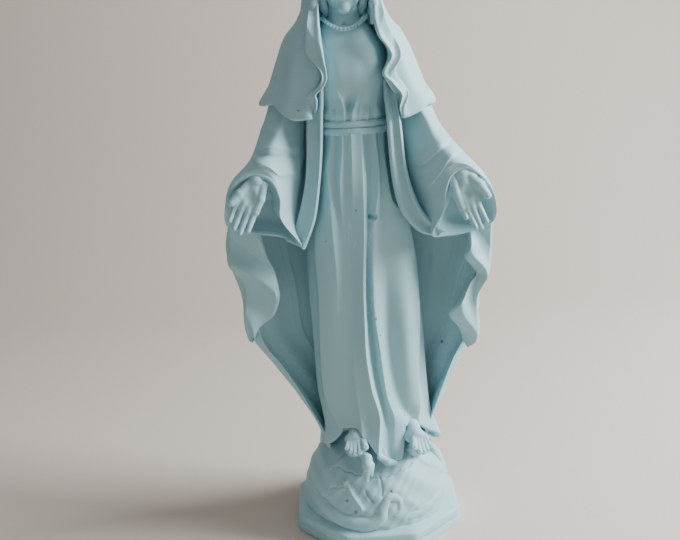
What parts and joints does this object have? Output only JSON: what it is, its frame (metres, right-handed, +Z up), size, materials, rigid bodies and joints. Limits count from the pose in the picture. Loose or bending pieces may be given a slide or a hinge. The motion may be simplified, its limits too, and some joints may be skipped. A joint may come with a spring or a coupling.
{
  "type": "madonna statue",
  "caption": "Standing robed woman with open hands, on a globe with a serpent and an eight-sided plinth, cast in one piece.",
  "frame": {"origin": "centre of the plinth's flat underside", "axes": "+Z is up, the figure faces -Y, and +X is the right-hand side of someone who looks at its front"},
  "size_m": [0.0672, 0.044, 0.1523],
  "materials": {
    "pale_blue_cast": "matte cast plaster or resin, pale blue right through, soft edges and small air pinholes"
  },
  "bodies": {
    "root": {"plinth": "pale_blue_cast", "globe": "pale_blue_cast", "foot_left": "pale_blue_cast", "foot_right": "pale_blue_cast", "serpent_body": "pale_blue_cast", "serpent_tail": "pale_blue_cast", "serpent_head": "pale_blue_cast", "skirt": "pale_blue_cast", "sash": "pale_blue_cast", "neck": "pale_blue_cast", "bodice": "pale_blue_cast", "collar_band": "pale_blue_cast", "collar_beads": "pale_blue_cast", "head": "pale_blue_cast", "hair": "pale_blue_cast", "veil_hood": "pale_blue_cast", "veil_cape": "pale_blue_cast", "mantle_back": "pale_blue_cast", "mantle_wing_left": "pale_blue_cast", "mantle_wing_right": "pale_blue_cast", "hand_left": "pale_blue_cast", "sleeve_left": "pale_blue_cast", "mantle_lapel_left": "pale_blue_cast", "veil_fall_left": "pale_blue_cast", "mantle_cascade_left": "pale_blue_cast", "hand_right": "pale_blue_cast", "sleeve_right": "pale_blue_cast", "mantle_lapel_right": "pale_blue_cast", "veil_fall_right": "pale_blue_cast", "mantle_cascade_right": "pale_blue_cast"}
  },
  "joints": []
}
